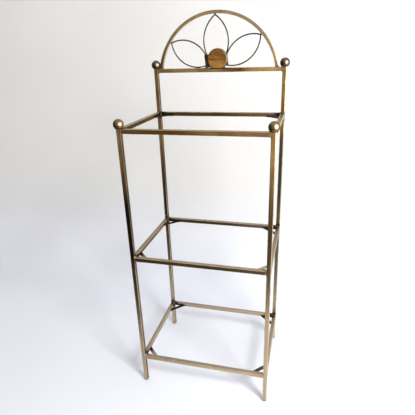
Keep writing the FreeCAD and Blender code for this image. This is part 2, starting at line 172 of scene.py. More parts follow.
class EtagereSizes(bpy.types.PropertyGroup):
    """Sizes of the brazed joints."""

    tube_corner: a_length("Tube corner", "Radius of the tube's rounded corners", 0.0016)
    braze_film: a_length("Braze film", "How far the braze stands off the tube's flat sides", 0.00016)
    braze_reach: a_length("Braze reach", "How far the braze runs out along a rail", 0.0032)
    braze_flare: a_length("Braze flare", "How far the braze climbs the post above and below a rail", 0.0026)
    braze_lumps: a_length("Braze lumps", "How uneven the braze is", 0.0006)
    lump_spacing: a_length("Lump spacing", "Size of one lump in the braze", 0.0028)
    brace_width: a_length("Brace width", "Width of the corner braces' flat bar", 0.0105)
    brace_bead: a_length("Brace bead", "Radius of the bead under each end of a brace", 0.0014)
    arch_side: a_length("Arch side", "Side of the arch's square tube", 0.0095)
    arch_radius: a_length("Arch radius", "Radius of the arch along the middle of its tube", 0.18458)
    arch_centre: a_place("Arch centre", "The point that the arch is drawn round", (-0.0025, 0.1524, 0.96985))
    arch_flare: a_length("Arch flare", "How far the braze at the arch's feet spreads over the crest rail",
                         0.0018)
    solder_drop: a_length("Solder drop", "Radius of a drop of solder where wires are joined", 0.0026)


class EtagereColours(bpy.types.PropertyGroup):
    """Colours of the brass and of what has settled on it."""

    brass: a_colour("Brass", "Lightly polished brass", (0.53, 0.33, 0.125))
    brown: a_colour("Brown", "Brown tarnish", (0.33, 0.175, 0.06))
    pale: a_colour("Pale", "Dulled, paler brass low on the frame", (0.46, 0.385, 0.295))
    # Painted shade: the dull colours darken the unpolished inner sides tier by tier, and the posts' dark
    # stretches
    dull: a_colour("Dull", "Unpolished inner sides", (0.10, 0.08, 0.06))
    dull_low: a_colour("Low dull", "Unpolished inner sides of the bottom tier", (0.40, 0.325, 0.245))
    dull_high: a_colour("High dull", "Unpolished inner sides of the top tier's side rails",
                        (0.006, 0.005, 0.004))
    dull_back: a_colour("Back dull", "Unpolished inner sides of the top tier's front and back rails",
                        (0.105, 0.07, 0.032))
    dust: a_colour("Dust", "Dulled upper sides of the rails", (0.36, 0.30, 0.235))
    graze: a_colour("Graze", "Tint of the brass seen at a grazing angle", (0.74, 0.69, 0.61))
    deep_brown: a_colour("Deep brown", "The brownest stretches of the brass", (0.25, 0.115, 0.024))
    crest: a_colour("Crest rail", "Polished brass of the crest rail", (0.80, 0.55, 0.235))
    arch_brown: a_colour("Arch tarnish", "Light tarnish on the arch", (0.58, 0.43, 0.25))
    arch: a_colour("Arch", "Polished brass of the arch", (0.80, 0.61, 0.36))
    # Painted highlight: the rubbed corners' colour is brighter than the rubbing alone
    rubbed: a_colour("Rubbed", "Bright brass on rubbed corners", (0.80, 0.69, 0.46))
    # Soot's colour also paints black shade on the posts and on the disc's right edge
    soot: a_colour("Soot", "Black left by the torch", (0.016, 0.012, 0.009))
    bloom: a_colour("Bloom", "Rosy colour that heat drew out beside a joint", (0.40, 0.21, 0.13))
    bar: a_colour("Bar", "Dull brass of the corner braces", (0.36, 0.29, 0.18))
    ball: a_colour("Ball", "Polished brass of the finials", (0.30, 0.23, 0.13))
    ball_graze: a_colour("Ball graze", "Tint of the finials seen at a grazing angle", (0.16, 0.12, 0.09))
    # Painted shade: the back finials are made darker than the front ones
    old_ball: a_colour("Old ball", "Browner brass of the back finials", (0.20, 0.152, 0.112))
    disc: a_colour("Disc", "Warm brushed brass of the disc", (0.66, 0.32, 0.075))
    # Dark streaks, also used for painted shade towards the top of the disc
    disc_shade: a_colour("Disc shade", "Dark streaks on the disc", (0.20, 0.078, 0.014))
    # Painted reflection: a grey-brown band along the disc's rim, widest at the upper right
    disc_rim: a_colour("Disc rim", "Grey-brown along the disc's rim", (0.23, 0.17, 0.11))
    plate: a_colour("Plate", "Unpolished plate behind the disc", (0.15, 0.085, 0.045))
    wire: a_colour("Wire", "Darkened wire of the petals", (0.042, 0.033, 0.026))
    wire_worn: a_colour("Worn wire", "Brass showing through on the wire", (0.15, 0.105, 0.06))
    solder: a_colour("Solder", "Dull grey solder", (0.36, 0.34, 0.31))
    braze: a_colour("Braze", "Yellowish braze at the joints", (0.24, 0.18, 0.11))
    steel: a_colour("Steel", "Steel of the studs", (0.50, 0.50, 0.50))
    glide: a_colour("Glide", "Dark plastic of the foot glides", (0.045, 0.036, 0.03))


class EtagereStage(bpy.types.PropertyGroup):
    """The floor, the light and the camera."""

    floor: a_colour("Floor", "Pale floor", (0.74, 0.76, 0.835))
    wall: a_colour("Wall", "Pale wall behind", (0.75, 0.75, 0.73))
    room_dark: a_colour("Dark of the room", "Light from the room in front", (0.16, 0.14, 0.12))
    room_bright: a_colour("Bright of the room", "Light from above and behind", (1.0, 0.985, 0.96))
    front_glow: a_colour("Front glow", "Light from the front, a little to the right", (0.95, 0.88, 0.78))
    room_power: a_strength("Room light", "Strength of the room's own light", 0.77)
    key_power: a_strength("Key light", "Power of the soft light at the right", 56.0, "POWER")
    key_side: a_length("Key light side", "Side of the soft light", 0.7)
    key_place: a_place("Key light place", "Where the soft light hangs", (1.5, -1.35, 2.1))
    window_power: a_strength("Window light", "Power of the tall soft light at the right", 16.0, "POWER")
    window_place: a_place("Window light place", "Where the tall soft light stands", (1.55, -1.2, 0.95))
    window_width: a_length("Window light width", "Width of the tall soft light", 0.7)
    window_height: a_length("Window light height", "Height of the tall soft light", 1.6)
    glow_power: a_strength("Glow", "Strength of the window's reflection in the brass", 9.5)
    glow_width: a_length("Glow width", "Width of the window's reflection", 2.8)
    wall_back: a_length("Wall distance", "How far behind the middle of the floor the wall stands", 0.62)
    camera_place: a_place("Camera place", "Where the camera stands", (0.2803, -1.0972, 1.0487))
    camera_turn: FloatVectorProperty(
        name="Camera turn", description="How the camera is turned", default=(1.187887, 0.0276, 0.245123),
        subtype="EULER", unit="ROTATION")
    camera_lens: FloatProperty(
        name="Lens", description="Focal length on a 36 mm sensor", default=33.82, unit="CAMERA")


def sizes():
    """The sizes in this scene."""
    return bpy.context.scene.etagere_sizes


def colours():
    """The colours in this scene."""
    return bpy.context.scene.etagere_colours


Axes = namedtuple("Axes", "x y z")


class Value:
    """A value in a node tree. A sum with it adds a math node to that tree."""

    def __init__(self, bench, socket):
        self.bench, self.socket = bench, socket

    def __add__(self, other):
        return self.bench.math("ADD", self, other)

    def __sub__(self, other):
        return self.bench.math("SUBTRACT", self, other)

    def __rsub__(self, other):
        return self.bench.math("SUBTRACT", other, self)

    def __mul__(self, other):
        return self.bench.math("MULTIPLY", self, other)

    def __truediv__(self, other):
        return self.bench.math("DIVIDE", self, other)

    def __neg__(self):
        return self.bench.math("MULTIPLY", self, -1.0)

    def __abs__(self):
        return self.bench.math("ABSOLUTE", self)

    def most(self, other):
        """The greater of two values."""
        return self.bench.math("MAXIMUM", self, other)

    def least(self, other):
        """The lesser of two values."""
        return self.bench.math("MINIMUM", self, other)

    def away(self, middle):
        """How far the value is from a middle."""
        return abs(self - middle)

    def ease(self, low, high, first=0.0, last=1.0):
        """Goes smoothly from first to last as the value goes from low to high."""
        node = self.bench.add(
            "ShaderNodeMapRange", self, low, high, first, last, interpolation_type="SMOOTHSTEP")
        return Value(self.bench, node.outputs[0])

    def fade(self, low, high):
        """Goes smoothly from one to nothing as the value goes from low to high."""
        return self.ease(low, high, 1.0, 0.0)

    def stretch(self, low, full, level, high):
        """One between full and level, and nothing outside low and high."""
        return self.ease(low, full) * self.fade(level, high)


class Bench:
    """A node tree with short calls for the nodes that the finishes are made of."""

    def __init__(self, tree):
        self.tree = tree

    def add(self, kind, *terms, **settings):
        """Adds a node with these settings, and fills its first inputs."""
        node = self.tree.nodes.new(kind)
        for name, value in settings.items():
            setattr(node, name, value)
        for term, target in zip(terms, node.inputs):
            self.put(term, target)
        return node

    def put(self, source, target):
        """Links a value or a socket, or sets a plain number or colour."""
        if isinstance(source, Value):
            source = source.socket
        if isinstance(source, bpy.types.NodeSocket):
            self.tree.links.new(source, target)
        elif target.type == "RGBA" and len(source) == 3:
            target.default_value = (*source, 1.0)
        else:
            target.default_value = source

    def values(self, node):
        """A node's outputs by name."""
        return {socket.name: Value(self, socket) for socket in node.outputs}

    def math(self, operation, *terms):
        return Value(self, self.add("ShaderNodeMath", *terms, operation=operation).outputs[0])

    def vector(self, operation, *terms):
        node = self.add("ShaderNodeVectorMath", *terms, operation=operation)
        output = "Value" if operation in ("DOT_PRODUCT", "LENGTH", "DISTANCE") else "Vector"
        return Value(self, node.outputs[output])

    def tint(self, share, under, over, blend_type="MIX"):
        """Lays one colour over another."""
        node = self.add("ShaderNodeMix", data_type="RGBA", blend_type=blend_type)
        for term, target in ((share, MIX_SHARE), (under, MIX_UNDER), (over, MIX_OVER)):
            self.put(term, node.inputs[target])
        return Value(self, node.outputs[MIX_RESULT])

    def shaded(self, tone, shade):
        """Makes a colour darker or lighter."""
        return self.tint(1.0, tone, self.join(shade, shade, shade), "MULTIPLY")

    def place(self):
        return Value(self, self.add("ShaderNodeTexCoord").outputs["Object"])

    def split(self, vector):
        return Axes(*self.values(self.add("ShaderNodeSeparateXYZ", vector)).values())

    def axes(self):
        """The three parts of a point's place."""
        return self.split(self.place())

    def join(self, x, y, z):
        return Value(self, self.add("ShaderNodeCombineXYZ", x, y, z).outputs[0])

    def noise(self, vector, scale, detail=2.0, roughness=0.5):
        node = self.add("ShaderNodeTexNoise")
        terms = {"Vector": vector, "Scale": scale, "Detail": detail, "Roughness": roughness}
        for name, term in terms.items():
            self.put(term, node.inputs[name])
        return Value(self, node.outputs[0])

    def group(self, name, **terms):
        """Places a shared effect, with its inputs given by name, and gives its outputs."""
        node = self.add("ShaderNodeGroup", node_tree=bpy.data.node_groups[name])
        for term, value in terms.items():
            self.put(value, node.inputs[term.capitalize()])
        return self.values(node)


def build_effect(effect, inputs):
    """Builds a shared effect as a node group, named as the function that turns inputs into outputs."""
    tree = bpy.data.node_groups.new(effect.__name__.replace("_", " "), "ShaderNodeTree")
    for label, default in inputs.items():
        parts = 1 if isinstance(default, float) else len(default)
        kind = {1: "NodeSocketFloat", 3: "NodeSocketVector", 4: "NodeSocketColor"}[parts]
        tree.interface.new_socket(label, in_out="INPUT", socket_type=kind).default_value = default
    bench = Bench(tree)
    results = effect(bench, bench.values(bench.add("NodeGroupInput")))
    for label, value in results.items():
        kind = "NodeSocketColor" if value.socket.type == "RGBA" else "NodeSocketFloat"
        tree.interface.new_socket(label, in_out="OUTPUT", socket_type=kind)
    end = bench.add("NodeGroupOutput")
    for label, value in results.items():
        bench.put(value, end.inputs[label])


def nearest_rail(bench, given):
    """How far a point is from the nearest rail's middle and above it, and if it is on its upper side."""
    height = bench.axes().z
    nearest, rise, upper = 1.0, 0.0, 0.0
    for middle in RAIL_HEIGHTS:
        above = height - middle
        distance = abs(above)
        nearest = distance.least(nearest)
        rise = above * bench.math("LESS_THAN", distance, 2 * TUBE_HALF) + rise
        upper_side = (0.8 * TUBE_HALF, 0.97 * TUBE_HALF, 1.5 * TUBE_HALF, 2 * TUBE_HALF)
        upper = above.stretch(*upper_side).most(upper)
    return {"Distance": nearest, "Rise": rise, "Upper side": upper}


def worn_corners(bench, given):
    """Rubbed, bright metal along the corners of square tube, brightened further as a painted highlight,
    broken up along its length.
    """
    near = given["First"].least(given["Second"]) / given["Half"]
    patchy = bench.noise(bench.place(), scale=55.0, detail=3.0).ease(0.3, 0.65, 0.35, 1.0)
    return {"Mask": near.ease(0.66, 0.9) * patchy}


def torch_marks(bench, given):
    """Soot beside a brazed joint, and a rosy bloom further out."""
    ragged = bench.noise(bench.place(), scale=95.0, detail=4.0, roughness=0.6) - 0.5
    uneven = bench.noise(bench.place(), scale=7.0, detail=1.0) - 0.5
    shift = ragged * 1.1 + uneven * 2.2 - 0.45
    share = given["Distance"] / given["Reach"] + shift
    return {"Soot": share.fade(0.0, 1.0), "Bloom": share.stretch(0.5, 1.2, 1.3, 3.2)}


def tarnish(bench, given):
    """Clouds of brown tarnish, and small dark flecks."""
    where = bench.place()
    clouds = bench.noise(where, given["Scale"], detail=5.0, roughness=0.58)
    flecks = bench.noise(where, given["Scale"] * 17.0, detail=3.0, roughness=0.6)
    return {"Clouds": clouds.ease(0.36, 0.66), "Flecks": flecks.ease(0.62, 0.74)}


def drawn_lines(bench, given):
    """Fine lines left by drawing or brushing, along the axis where the stretch is least."""
    stretched = bench.vector("MULTIPLY", given["Along"], given["Stretch"])
    return {"Lines": bench.noise(stretched, scale=1.0, detail=3.0, roughness=0.55)}


def low_wear(bench, given):
    """Dulled and paler towards the floor."""
    where = bench.place()
    ragged = (bench.noise(where, scale=9.0, detail=3.0) - 0.5) * 0.22
    return {"Mask": (bench.split(where).z + ragged).fade(0.12, 0.78)}


def tier_dullness(bench, given):
    """How dark the rails' inner sides are, tier by tier, as painted shade over unpolished brass, and painted
    light that makes them lighter at the right.
    """
    axes = bench.axes()
    lower = bench.tint(axes.z.ease(0.15, 0.42), colours().dull_low, colours().dull)
    tone = bench.tint(axes.z.ease(0.5, 0.84), lower, given["Highest"])
    # Painted light: the inner sides are made lighter towards the right
    right = axes.x.ease(-0.03, 0.12) * axes.z.ease(0.2, 0.4)
    return {"Color": bench.shaded(tone, right.ease(0.0, 1.0, 1.0, 2.0))}


def rail_torch(bench, given):
    """From a point on a rail to a post, or on the lower half to a left brace, soonest on the inner side."""
    low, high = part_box("bottom_back_left_brace")
    past = (given["Short"] - (high.x - low.x - BRACE_SOOT)).most(0.0)
    above = (bench.group("nearest rail")["Rise"] - (high.z - RAIL_HEIGHTS[0])).most(0.0)
    right = bench.axes().x.ease(-0.05, 0.05, 0.0, 0.02)
    brace = past * 2.0 + (above * 3.5 + right) + (1.0 - given["Braced"])
    return {"Distance": given["Outside"] * OUTWARD_FADE + given["Short"].least(brace)}


def burnt_braze(bench, given):
    """Poured metal, black where the torch burnt it, and clean on the front and at the right front post."""
    axes = bench.axes()
    at_right = axes.x.ease(0.1, 0.15) * axes.y.ease(-0.14, -0.1, 0.8, 0.0)
    front = at_right.most(axes.y.fade(-POST_Y - 0.002, -POST_Y + 0.003))
    clean = bench.tint(bench.group("low wear")["Mask"], colours().brass, colours().pale)
    spots = bench.group("tarnish", scale=90.0)
    burnt = spots["Clouds"].ease(0.0, 1.0, 0.5, 1.0) * given["Darkness"]
    burnt = burnt * front.ease(0.0, 1.0, 1.0, 0.12)
    return {"Color": bench.tint(burnt, bench.tint(front, given["Tone"], clean), colours().soot),
            "Metallic": burnt.ease(0.0, 1.0, 1.0, 0.3), "Roughness": burnt.ease(0.0, 1.0, 0.34, 0.62),
            "Height": spots["Flecks"]}


# What lies over the brass, under and over the shade of the drawn lines: its mask, its share and its tone
# Inner and Dulled carry painted shade, and Corner and Rubbed carry a painted highlight over the rubbing
UNDER_LINES = (
    ("Low", 0.8, "Pale"), ("Bloom", 0.45, "Bloomed"), ("Upper", 0.7, "Dusty"), ("Inner", 0.95, "Dulled"))
OVER_LINES = (("Corner", 0.75, "Rubbed"), ("Flecks", 0.45, "Brown"), ("Soot", 0.96, "Sooty"))


def brass_layers(bench, given):
    """Brass with tarnish, wear, bloom and soot laid over each other, with painted shade on the inner sides
    and a painted highlight on the corners.
    """
    lines = given["Lines"]
    tone = bench.tint(given["Clouds"], given["Brass"], given["Brown"])
    for mask, share, over in UNDER_LINES:
        tone = bench.tint(given[mask] * share, tone, given[over])
    tone = bench.shaded(tone, lines.ease(0.25, 0.75, 0.76, 1.14))
    for mask, share, over in OVER_LINES:
        tone = bench.tint(given[mask] * share, tone, given[over])
    rough = given["Clouds"] * 0.06 + given["Low"] * 0.04 + given["Inner"].most(given["Upper"]) * 0.12
    rough = rough + given["Soot"] * 0.3 - given["Corner"] * 0.06 + lines.ease(*LINE_SPAN, 0.14, 0.22)
    return {"Color": tone, "Roughness": rough, "Height": lines + given["Flecks"] * -0.6}


LAYER_TONES = ("Brass", "Brown", "Pale", "Dulled", "Dusty", "Rubbed", "Bloomed", "Sooty")
LAYER_MASKS = ("Clouds", "Flecks", "Low", "Inner", "Upper", "Corner", "Bloom", "Soot")
EFFECTS = (
    (nearest_rail, {}),
    (worn_corners, {"First": 0.0, "Second": 0.0, "Half": TUBE_HALF}),
    (torch_marks, {"Distance": 0.0, "Reach": SOOT_REACH["rail"]}),
    (tarnish, {"Scale": 14.0}),
    (drawn_lines, {"Along": (0.0, 0.0, 0.0), "Stretch": (1.0, 1.0, 1.0)}),
    (low_wear, {}),
    (tier_dullness, {"Highest": WHITE}),
    (rail_torch, {"Short": 0.0, "Outside": 0.0, "Braced": 0.0}),
    (burnt_braze, {"Tone": WHITE, "Darkness": 1.0}),
    (brass_layers, {**dict.fromkeys(LAYER_TONES, WHITE), **dict.fromkeys(LAYER_MASKS, 0.0), "Lines": 0.5}),
)


def fresh_bench(owner):
    """Clears the nodes of a material or a world, and gives its bench."""
    owner.use_nodes = True
    owner.node_tree.nodes.clear()
    return Bench(owner.node_tree)


def new_finish(name, **constants):
    """A new material with one Principled shader, its bench and that shader."""
    material = bpy.data.materials.new(name)
    bench = fresh_bench(material)
    shader = bench.add("ShaderNodeBsdfPrincipled")
    bench.add("ShaderNodeOutputMaterial", shader.outputs[0])
    for label, value in constants.items():
        bench.put(value, shader.inputs[label.replace("_", " ").title()])
    return material, bench, shader


def coat(bench, shader, tone, roughness, height=None, bump=0.0, depth=FINE_MARKS):
    """Feeds a shader its colour and roughness, and roughens the surface by a height."""
    bench.put(tone, shader.inputs["Base Color"])
    bench.put(roughness, shader.inputs["Roughness"])
    if height is not None:
        marks = bench.add("ShaderNodeBump")
        for label, value in (("Height", height), ("Strength", bump), ("Distance", depth)):
            bench.put(value, marks.inputs[label])
        bench.put(marks.outputs[0], shader.inputs["Normal"])


def layer_brass(bench, shader, masks, brass=None, brown=None):
    """Feeds a shader from the brass layers."""
    tones = colours()
    layers = bench.group(
        "brass layers", brass=brass or tones.brass, brown=brown or tones.brown, pale=tones.pale,
        dusty=tones.dust, rubbed=tones.rubbed, bloomed=tones.bloom, sooty=tones.soot, **masks)
    coat(bench, shader, layers["Color"], layers["Roughness"], layers["Height"], bump=0.12)


def tube_finish(name, across, torch, lines, half=TUBE_HALF, inner=None, rail_top=None, brass=None, brown=None,
                dimmed=None, browned=None):
    """Aged brass on square tube, from functions that place a point on it.

    across gives the two offsets across the tube, torch the distance to a joint and the soot's reach, and
    lines the run of the drawn lines and their stretch. inner places the unpolished side, which painted shade
    darkens further, and rail_top is that side's colour of painted shade on the top tier. dimmed gives masks
    for darkened and for black stretches, which are painted shade on the posts, and browned for brown ones."""
    tones = colours()
    material, bench, shader = new_finish(name, metallic=1.0, specular_tint=tones.graze)
    axes = bench.axes()
    first, second = (offset(axes) for offset in across)
    burnt = bench.group("torch marks", distance=torch[0](axes), reach=torch[1])
    spots = bench.group("tarnish")
    masks = {
        "corner": bench.group("worn corners", first=first, second=second, half=half)["Mask"],
        "clouds": spots["Clouds"], "flecks": spots["Flecks"], "low": bench.group("low wear")["Mask"],
        "lines": bench.group("drawn lines", along=lines[0](axes), stretch=lines[1])["Lines"],
        "bloom": burnt["Bloom"], "soot": burnt["Soot"], "dulled": tones.dull}
    # Painted shade: the inner sides are darkened over their unpolished brass
    if inner:
        least_dull = 0.85 if rail_top else 0.75
        patches = bench.noise(bench.place(), scale=9.0, detail=2.0).ease(0.3, 0.6, least_dull, 1.0)
        masks["inner"] = inner(axes).fade(0.0006, 0.0022) * patches
    # Painted shade: dim stretches take the dull colour, and the black ones take soot's colour
    if dimmed:
        dim, black = dimmed(axes)
        masks["inner"] = dim.most(masks.get("inner", 0.0))
        masks["dulled"] = bench.tint(black * 0.8, tones.dull, tones.soot)
        masks["corner"] = masks["corner"] * (1.0 - black)
    if rail_top:
        masks["dulled"] = bench.group("tier dullness", highest=rail_top)["Color"]
        masks["upper"] = bench.group("nearest rail")["Upper side"]
    if browned:
        mask = browned(axes)
        brass = bench.tint(mask, brass or tones.brass, tones.deep_brown)
        brown = bench.tint(mask, brown or tones.brown, tones.deep_brown)
    layer_brass(bench, shader, masks, brass=brass, brown=brown)
    return material


def on_right(axes):
    return axes.x.ease(*MIDLINE)


def on_left(axes):
    return axes.x.fade(*MIDLINE)


def on_back(axes):
    return axes.y.ease(*MIDLINE)


def on_front(axes):
    return axes.y.fade(*MIDLINE)


def off_post_x(axes):
    return abs(axes.x).away(POST_X)


def off_post_y(axes):
    return abs(axes.y).away(POST_Y)


def off_rail(axes):
    return axes.z.bench.group("nearest rail")["Distance"]


def short_of_post_x(axes):
    """How far a point is from the posts' faces, between the left and the right posts."""
    return INNER_X - abs(axes.x)


def short_of_post_y(axes):
    """How far a point is from the posts' faces, between the front and the back posts."""
    return INNER_Y - abs(axes.y)


def outside_x(axes):
    """How far outside the inner faces of the side rails a point lies."""
    return -short_of_post_x(axes)


def outside_y(axes):
    """How far outside the inner faces of the front and back rails a point lies."""
    return -short_of_post_y(axes)


def post_torch(axes):
    """From a point on a post to the nearest brazed joint, which lies on the post's inner faces."""
    inward = outside_x(axes).least(outside_y(axes))
    past = (off_rail(axes) - TUBE_HALF).most(0.0)
    above = axes.z.ease(TOP_TIER, TOP_TIER + 0.02, 0.0, 3 * CREST_CLEANER)
    front = axes.y.ease(FRONT_SIDE + 0.0005, -POST_Y, 3 * CREST_CLEANER, 0.0)
    return inward * OUTWARD_FADE + (past + above.most(front))


def long_rail_torch(axes):
    """From a point on a front or back rail to a post or a left brace."""
    return axes.x.bench.group(
        "rail torch", short=short_of_post_x(axes), outside=outside_y(axes), braced=1.0)["Distance"]


def side_rail_torch(axes):
    """From a point on a side rail to a post."""
    return axes.y.bench.group("rail torch", short=short_of_post_y(axes), outside=outside_x(axes))["Distance"]


def crest_torch(axes):
    """From a point on the crest rail to a post, or to the foot of the flower on the rail's upper side."""
    beside = axes.x.away(middle_of("rosette_plate").x) - half_width("rosette_plate")
    below = CREST_TOP - axes.z
    foot = beside.most(0.0) + (below * 2.0 + 0.005)
    return (short_of_post_x(axes) + CREST_CLEANER).least(foot)


def above_crest(axes):
    return axes.z - CREST_TOP


def dim_posts(axes):
    """Painted shade and dark reflection on the posts: dull stretches, and the black ones among them.

    Most of the right back post is painted dull and part of the left back one. The left front post is painted
    black on a part of its front, and the left posts are painted black as shade on the upper part of their
    right sides."""
    height = axes.z
    right_back = (height.stretch(*RIGHT_BACK_LOW_DULL) * 0.85).most(height.stretch(*RIGHT_BACK_HIGH_DULL))
    left_back = height.stretch(*LEFT_BACK_DULL) * 0.5
    dull = (right_back * on_right(axes) + left_back * on_left(axes)) * on_back(axes)
    on_front_side = on_left(axes) * axes.y.fade(FRONT_SIDE + 0.0005, FRONT_SIDE + 0.002)
    black_front = height.stretch(*LEFT_FRONT_BLACK) * on_front_side
    right_sides = axes.x.stretch(-POST_X + 0.4 * TUBE_HALF, -POST_X + 0.7 * TUBE_HALF, 0.0, 0.01)
    black = black_front.most(right_sides * height.ease(0.5, 0.62, 0.0, 0.85))
    return dull.most(black), black


def dim_arch(axes):
    """The right part of the arch, which is duller, and none of it black."""
    return axes.x.ease(-0.02, 0.13, 0.0, 0.3), 0.0


def brown_front(axes):
    """The left half of the top tier's front rail, which is browner."""
    return on_front(axes) * axes.z.ease(0.7, 0.8) * axes.x.fade(-0.06, 0.03)


def brown_crest(axes):
    """The stretch of the crest rail to the right of the disc, which is browner."""
    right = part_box("rosette_disc")[1].x
    return axes.x.stretch(right - 0.045, right + 0.01, right + 0.035, right + 0.075)


def brown_arch(axes):
    """The lower left part of the arch, which is browner."""
    return axes.z.ease(CREST_TOP, CREST_TOP + 0.1, 0.9, 0.0) * axes.x.fade(-0.12, 0.0)


def plain_place(axes):
    return axes.x.bench.place()


def from_arch_centre(bench):
    """A point's offset from the arch's centre, and how long that is in the arch's plane."""
    offset = bench.split(bench.vector("SUBTRACT", bench.place(), tuple(sizes().arch_centre)))
    return offset, bench.vector("LENGTH", bench.join(offset.x, 0.0, offset.z))


def off_arch(axes):
    return from_arch_centre(axes.x.bench)[1].away(sizes().arch_radius)


def along_arch(axes):
    """Unrolls the arch: along it, across it, and through it."""
    bench = axes.x.bench
    offset, radius = from_arch_centre(bench)
    turn = bench.math("ARCTAN2", offset.z, offset.x)
    return bench.join(turn * sizes().arch_radius, radius, offset.y)


def nodes_ending(*endings):
    """The nodes of the frame whose names have one of these endings."""
    found = [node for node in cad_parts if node.endswith(endings)]
    if not found:
        raise RuntimeError("the frame has no node that ends in %s" % (endings,))
    return found


def dress(material, *endings):
    """Gives a finish to the nodes whose names have one of these endings."""
    for node in nodes_ending(*endings):
        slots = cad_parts[node].material_slots
        if not slots:
            raise RuntimeError("%s has no material slot" % node)
        for slot in slots:
            slot.material = material


def start_fresh():
    """Object mode, with nothing selected."""
    if bpy.context.object and bpy.context.object.mode != "OBJECT":
        bpy.ops.object.mode_set(mode="OBJECT")
    bpy.ops.object.select_all(action="DESELECT")


def pick(piece):
    """Selects one piece and makes it the active one."""
    start_fresh()
    piece.select_set(True)
    bpy.context.view_layer.objects.active = piece


def edit(piece):
    """Goes into edit mode on one piece."""
    pick(piece)
    bpy.ops.object.mode_set(mode="EDIT")


def done_editing():
    """Turns the faces outwards and goes back to object mode."""
    bpy.ops.mesh.select_all(action="SELECT")
    bpy.ops.mesh.normals_make_consistent(inside=False)
    bpy.ops.object.mode_set(mode="OBJECT")


def select_only(piece, mode, test):
    """Selects, in edit mode, the faces or the points that pass a test."""
    bpy.ops.mesh.select_mode(type=mode)
    bpy.ops.mesh.select_all(action="DESELECT")
    shape = bmesh.from_edit_mesh(piece.data)
    for element in shape.faces if mode == "FACE" else shape.verts:
        element.select = test(element)
    shape.select_flush_mode()
    bmesh.update_edit_mesh(piece.data)


def select_faces(piece, test):
    """Selects the faces that pass a test of their middle and normal."""
    select_only(piece, "FACE", lambda face: test(face.calc_center_median(), face.normal))


def select_points(piece, test):
    """Selects the points that pass a test of their place."""
    select_only(piece, "VERT", lambda point: test(point.co))


def settle(piece):
    """Puts a piece's place into its mesh."""
    pick(piece)
    bpy.ops.object.transform_apply(location=True, rotation=True, scale=True)


def copy_to(model, matrix):
    """A copy of a model, with its own mesh, put in its place."""
    pick(model)
    bpy.ops.object.duplicate()
    copy = bpy.context.view_layer.objects.active
    copy.matrix_world = matrix
    settle(copy)
    return copy


def take_away(*models):
    """Removes models that have been copied."""
    for model in models:
        bpy.data.objects.remove(model)


def join_as(name, copies):
    """Joins copies into one piece."""
    start_fresh()
    for copy in copies:
        copy.select_set(True)
    bpy.context.view_layer.objects.active = copies[0]
    if len(copies) > 1:
        bpy.ops.object.join()
    piece = bpy.context.view_layer.objects.active
    piece.name = piece.data.name = name
    return piece


def make_lumpy(piece):
    """Makes a poured surface uneven, by a different lump at every place."""
    texture = bpy.data.textures.new(piece.name + " lumps", "CLOUDS")
    texture.noise_scale = sizes().lump_spacing
    texture.noise_depth = 1
    pick(piece)
    lumps = piece.modifiers.new("lumps", "DISPLACE")
    lumps.texture = texture
    lumps.texture_coords = "GLOBAL"
    lumps.strength = sizes().braze_lumps
    lumps.mid_level = 0.5
    bpy.ops.object.modifier_apply(modifier=lumps.name)
    bpy.ops.object.shade_smooth_by_angle(angle=SMOOTH_ANGLE)


def pour(name, copies, material):
    """Joins copies into one lumpy piece of braze or solder, with its material and its body."""
    piece = join_as(name, copies)
    make_lumpy(piece)
    piece.data.materials.clear()
    piece.data.materials.append(material)
    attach(piece, "root")


def model_collar(half, corner, reach, flare_wide, flare_tall):
    """A collar of braze round a tube that runs along +X from a flat face at x = 0."""
    film = sizes().braze_film
    outer = half + film
    start_fresh()
    bpy.ops.mesh.primitive_plane_add(size=2 * outer, location=(reach, 0, 0), rotation=(0, QUARTER_TURN, 0))
    collar = bpy.context.active_object
    settle(collar)
    edit(collar)
    bpy.ops.mesh.select_all(action="SELECT")
    bpy.ops.mesh.bevel(offset=corner, segments=4, affect="VERTICES")
    wide, tall = outer, outer
    for step_share, climb_share in COLLAR_STEPS:
        bpy.ops.mesh.extrude_region_move(TRANSFORM_OT_translate={"value": (-reach * step_share, 0, 0)})
        next_wide, next_tall = outer + flare_wide * climb_share, outer + flare_tall * climb_share
        bpy.ops.transform.resize(value=(1, next_wide / wide, next_tall / tall))
        wide, tall = next_wide, next_tall
    for x, edge_wide, edge_tall in ((reach, outer, outer), (0.0, wide, tall)):
        select_faces(collar, lambda middle, normal: abs(middle.x - x) < NEAR and abs(normal.x) > FACING)
        bpy.ops.mesh.inset(thickness=film)
        bpy.ops.transform.resize(value=(1, half / (edge_wide - film), half / (edge_tall - film)))
    select_faces(collar, lambda middle, normal: (
        abs(normal.x) > FACING and abs(middle.y) + abs(middle.z) < film))
    bpy.ops.mesh.bridge_edge_loops()
    bpy.ops.mesh.select_all(action="SELECT")
    bpy.ops.mesh.subdivide(number_cuts=1)
    done_editing()
    return collar


def trim_above(collar, height):
    """Cuts a collar off flat, where the post goes no higher than the rail."""
    edit(collar)
    bpy.ops.mesh.select_all(action="SELECT")
    bpy.ops.mesh.bisect(plane_co=(0, 0, height), plane_no=(0, 0, 1), use_fill=True, clear_outer=True)
    done_editing()


def rail_ends(height):
    """Where a tier's rails meet the posts, each turned along its rail, and if at the front or the back."""
    ends = []
    for x in (-1, 1):
        for y in (-1, 1):
            ends.append((y, Matrix.Translation((x * INNER_X, y * POST_Y, height))
                         @ Matrix.Rotation(0.0 if x < 0 else math.pi, 4, "Z")))
            ends.append((y, Matrix.Translation((x * POST_X, y * INNER_Y, height))
                         @ Matrix.Rotation(-y * QUARTER_TURN, 4, "Z")))
    return ends


